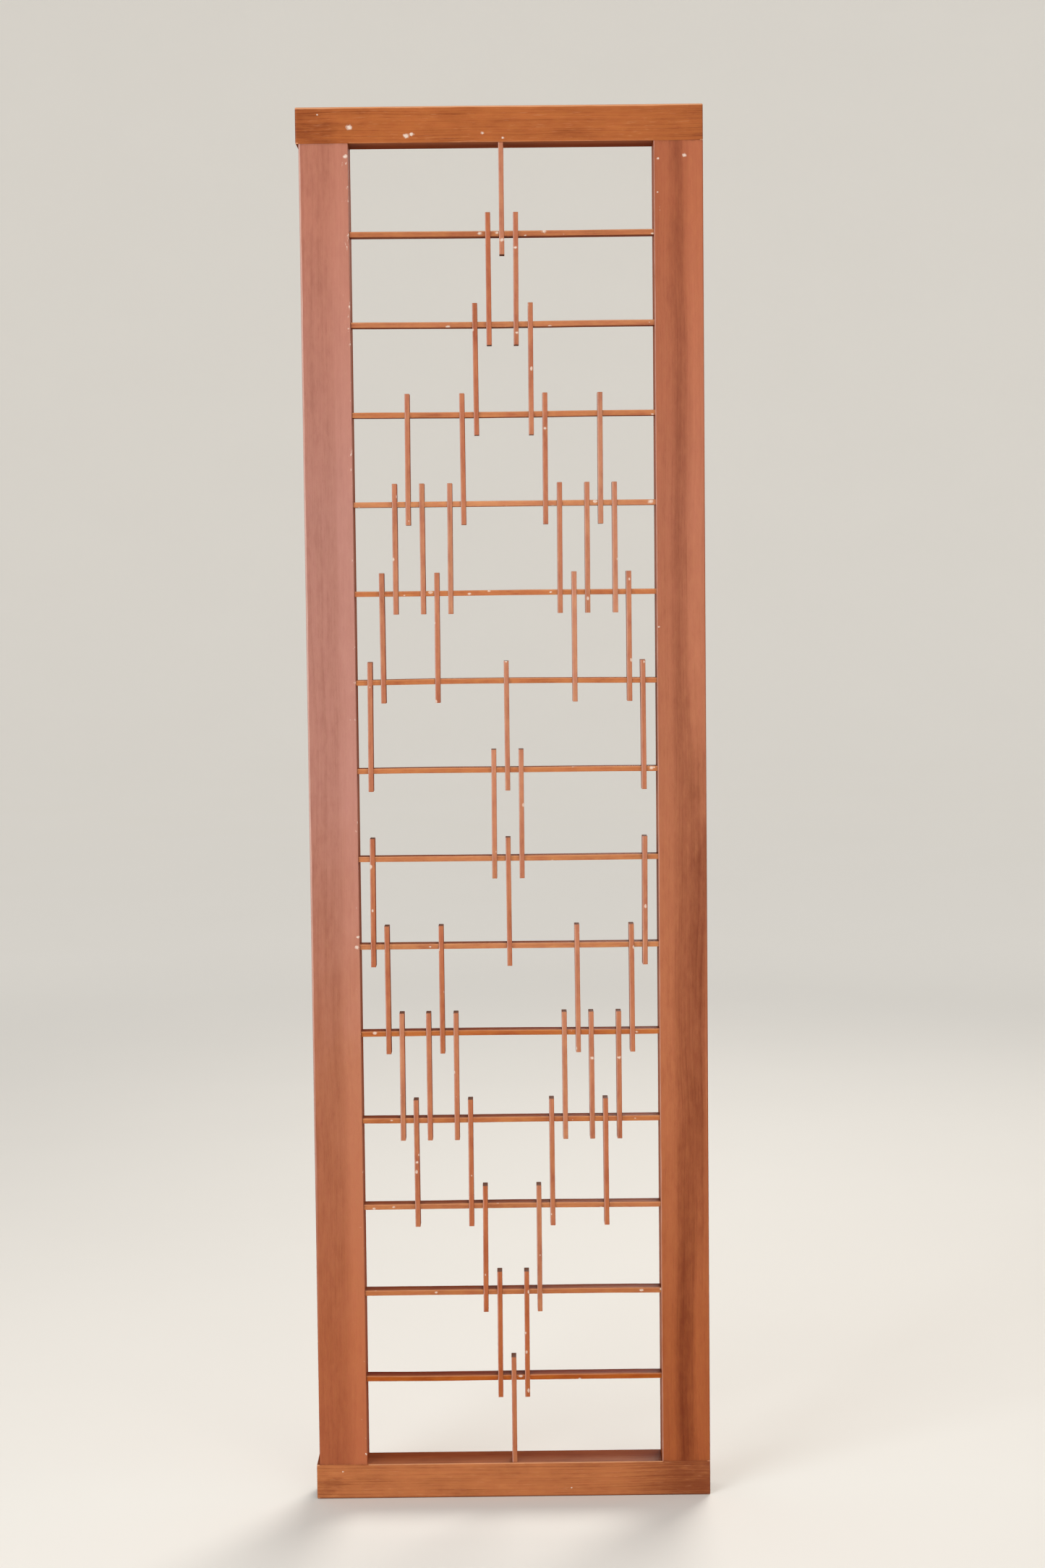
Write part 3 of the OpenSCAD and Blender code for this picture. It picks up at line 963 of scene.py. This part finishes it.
class LATTICEPANEL_OT_bars(bpy.types.Operator):
    """Make the bars, with a stub tenon at each end and a notch for every strip they cross"""

    bl_idname = "lattice_panel.bars"
    bl_label = "Bars"

    def execute(self, context):
        style = look().lattice
        rng = np.random.default_rng(look().seed + 3)
        lattice = Lattice()
        finish = wood("bar", "X", style.bar_colour, **WOODS["bar"])
        for name, bar in lattice.bars.items():
            low, high = bar["low"], bar["high"]
            half = (high - low) / 2
            reach = STRIP_WIDTH / 2 + LAP_PLAY
            crossed = [lattice.strip_line(strip, bar["z"]) for strip in lattice.strips_over(name)]
            notches = [(x - reach, x + reach) for x in crossed]
            nooks = [lattice.left, lattice.right, *(u for notch in notches for u in notch)]
            part = stick(True, lambda at: lattice.bar_line(name, at), low[0], high[0],
                         (low[1] + high[1]) / 2, half[2], half[1], style.arris,
                         (lattice.left, lattice.right), notches, nooks, rng.uniform(0, 1), rng)
            make_timber(name, [part], finish)
        return {"FINISHED"}


class LATTICEPANEL_OT_strips(bpy.types.Operator):
    """Make the strips, each with a notch in its back for the bar above and the bar below it"""

    bl_idname = "lattice_panel.strips"
    bl_label = "Strips"

    def execute(self, context):
        style = look().lattice
        rng = np.random.default_rng(look().seed + 4)
        lattice = Lattice()
        finish = wood("strip", "Z", style.strip_colour, **WOODS["strip"])
        for name, group in lattice.strips.items():
            low, high = edges(name)
            parts = []
            for strip in group:
                notches = []
                for bar in lattice.bars_across(strip):
                    z = lattice.bar_line(bar, strip["x"])
                    bar_low, bar_high = edges(bar)
                    reach = (bar_high[2] - bar_low[2]) / 2 + LAP_PLAY
                    notches.append((z - reach, z + reach))
                rails = (lattice.floor, lattice.ceiling)
                tenons = [t for t in rails if strip["low"] < t < strip["high"]]
                parts.append(stick(
                    False, lambda at: lattice.strip_line(strip, at), strip["low"], strip["high"],
                    (low[1] + high[1]) / 2, STRIP_WIDTH / 2, (high[1] - low[1]) / 2,
                    style.arris, tenons, notches, [], strip["board"], rng))
            make_timber(name, parts, finish)
        return {"FINISHED"}


def sweep(radius, rise, rings, spokes):
    """A floor of rings round the origin. It is flat out to the radius. Beyond that it climbs as
    the square of the distance past it, up to the rise at twice the radius."""
    r = radius * 2 * np.linspace(0, 1, rings) ** 1.5
    t = np.linspace(0, 2 * math.pi, spokes, endpoint=False)
    height = rise * np.clip(r / radius - 1, 0, None) ** 2
    points = np.stack([r[:, None] * np.cos(t), r[:, None] * np.sin(t),
                       np.broadcast_to(height[:, None], (rings, spokes))], axis=-1)
    return points.reshape(-1, 3), np.roll(joins(rings, spokes)[:, ::-1], 1, axis=1).tolist()


def add_floor(scene, colour):
    """The floor. It glows more with distance from the centre, which keeps the horizon even."""
    points, faces = sweep(radius=6.0, rise=8.0, rings=40, spokes=96)
    mesh = bpy.data.meshes.new("stage_floor")
    mesh.from_pydata(points, [], faces)
    shell = bmesh.new()
    shell.from_mesh(mesh)
    bmesh.ops.remove_doubles(shell, verts=shell.verts, dist=1e-5)
    shell.to_mesh(mesh)
    shell.free()
    mesh.shade_smooth()
    g = Graph("stage_floor_paint")
    place = g.node("TexCoord", output="Object")
    mottle = g.node("TexNoise", {}, {"Vector": place, "Scale": 3.0, "Detail": 3.0})
    x, y, _ = g.split(place)
    far = g.rise(g.maths("SQRT", x * x + y * y), 0.2, 3.0)
    g.finish({"Base Color": g.blend(mottle * 0.12, colour, (0.5, 0.47, 0.43)),
              "Roughness": 0.85, "Specular IOR Level": 0.2, "Emission Strength": 0.4,
              "Emission Color": g.blend(0.30 + far * 0.70, (0.0, 0.0, 0.0), colour)})
    mesh.materials.append(g.material)
    floor = bpy.data.objects.new("stage_floor", mesh)
    scene.collection.objects.link(floor)


def add_lights(scene, style):
    """Four area lights and a faint world."""
    wide, soft, narrow = math.pi, math.radians(110), math.radians(50)
    for name, power, size, colour, at, target, spread in (
        ("key_light", style.key_power, (1.6, 1.8), (0.84, 0.92, 1.0), (-1.9, -2.3, 1.15),
         (0, 0, 0.55), soft),
        ("fill_light", style.fill_power, (1.8, 1.8), (1.0, 0.90, 0.78), (1.1, -2.9, 0.95),
         (0, 0, 0.45), soft),
        ("top_light", style.top_power, (2.4, 2.4), (1.0, 0.97, 0.93), (0, -0.6, 3.0),
         (0, 0, 0.4), wide),
        ("back_light", style.back_power, (1.8, 1.8), (1.0, 0.96, 0.92), (0.9, 2.7, 1.9),
         (0, 0, 0.45), narrow),
    ):
        data = bpy.data.lights.new(name, "AREA")
        data.shape = "RECTANGLE"
        data.size, data.size_y = size
        data.energy, data.color, data.spread = power, colour, spread
        lamp = bpy.data.objects.new(name, data)
        lamp.location = at
        lamp.rotation_euler = (Vector(target) - lamp.location).to_track_quat("-Z", "Y").to_euler()
        lamp.visible_camera = False
        scene.collection.objects.link(lamp)
    world = bpy.data.worlds.new("pale_room")
    world.use_nodes = True
    background = world.node_tree.nodes["Background"].inputs
    background["Color"].default_value = (0.92, 0.94, 1.0, 1)
    background["Strength"].default_value = 0.36
    scene.world = world


def add_camera(scene, style):
    """A camera that stands at its place, turned by the yaw, the pitch and then the roll."""
    data = bpy.data.cameras.new("camera")
    data.lens = style.camera_lens
    data.sensor_width = 36
    camera = bpy.data.objects.new("camera", data)
    camera.matrix_world = (
        Matrix.Translation(style.camera_place)
        @ Matrix.Rotation(style.camera_yaw, 4, "Z")
        @ Matrix.Rotation(math.pi / 2 - style.camera_pitch, 4, "X")
        @ Matrix.Rotation(style.camera_roll, 4, "Z"))
    scene.collection.objects.link(camera)
    scene.camera = camera


class LATTICEPANEL_OT_stage(bpy.types.Operator):
    """Make the floor, the lights and the camera"""

    bl_idname = "lattice_panel.stage"
    bl_label = "Stage"

    def execute(self, context):
        style = look().stage
        add_floor(context.scene, style.floor_colour)
        add_lights(context.scene, style)
        add_camera(context.scene, style)
        context.scene.view_settings.view_transform = "Standard"
        return {"FINISHED"}


class LATTICEPANEL_PT_panel(bpy.types.Panel):
    """Buttons and settings of the lattice panel"""

    bl_idname = "LATTICEPANEL_PT_panel"
    bl_label = "Lattice panel"
    bl_space_type = "VIEW_3D"
    bl_region_type = "UI"
    bl_category = "Lattice panel"

    def draw(self, context):
        settings = look()
        self.layout.prop(settings, "seed")
        for operator, group in (
            (LATTICEPANEL_OT_rails, settings.frame), (LATTICEPANEL_OT_stiles, None),
            (LATTICEPANEL_OT_bars, settings.lattice), (LATTICEPANEL_OT_strips, settings.age_and_light),
            (LATTICEPANEL_OT_stage, settings.stage),
        ):
            box = self.layout.box()
            box.operator(operator.bl_idname)
            for key in (group.__annotations__ if group else ()):
                box.prop(group, key)


CLASSES = (
    FrameLook, LatticeLook, AgeAndLightLook, StageLook, PanelLook,
    LATTICEPANEL_OT_rails, LATTICEPANEL_OT_stiles, LATTICEPANEL_OT_bars, LATTICEPANEL_OT_strips,
    LATTICEPANEL_OT_stage, LATTICEPANEL_PT_panel,
)


def register():
    """Adds the classes and the scene's settings to Blender."""
    for cls in CLASSES:
        bpy.utils.register_class(cls)
    bpy.types.Scene.lattice_panel = PointerProperty(type=PanelLook)


def unregister():
    """Takes them out again."""
    del bpy.types.Scene.lattice_panel
    for cls in reversed(CLASSES):
        bpy.utils.unregister_class(cls)


def main():
    """Makes the panel and its stage."""
    register()
    bpy.ops.lattice_panel.rails()
    bpy.ops.lattice_panel.stiles()
    bpy.ops.lattice_panel.bars()
    bpy.ops.lattice_panel.strips()
    bpy.ops.lattice_panel.stage()


if __name__ == "__main__":
    main()
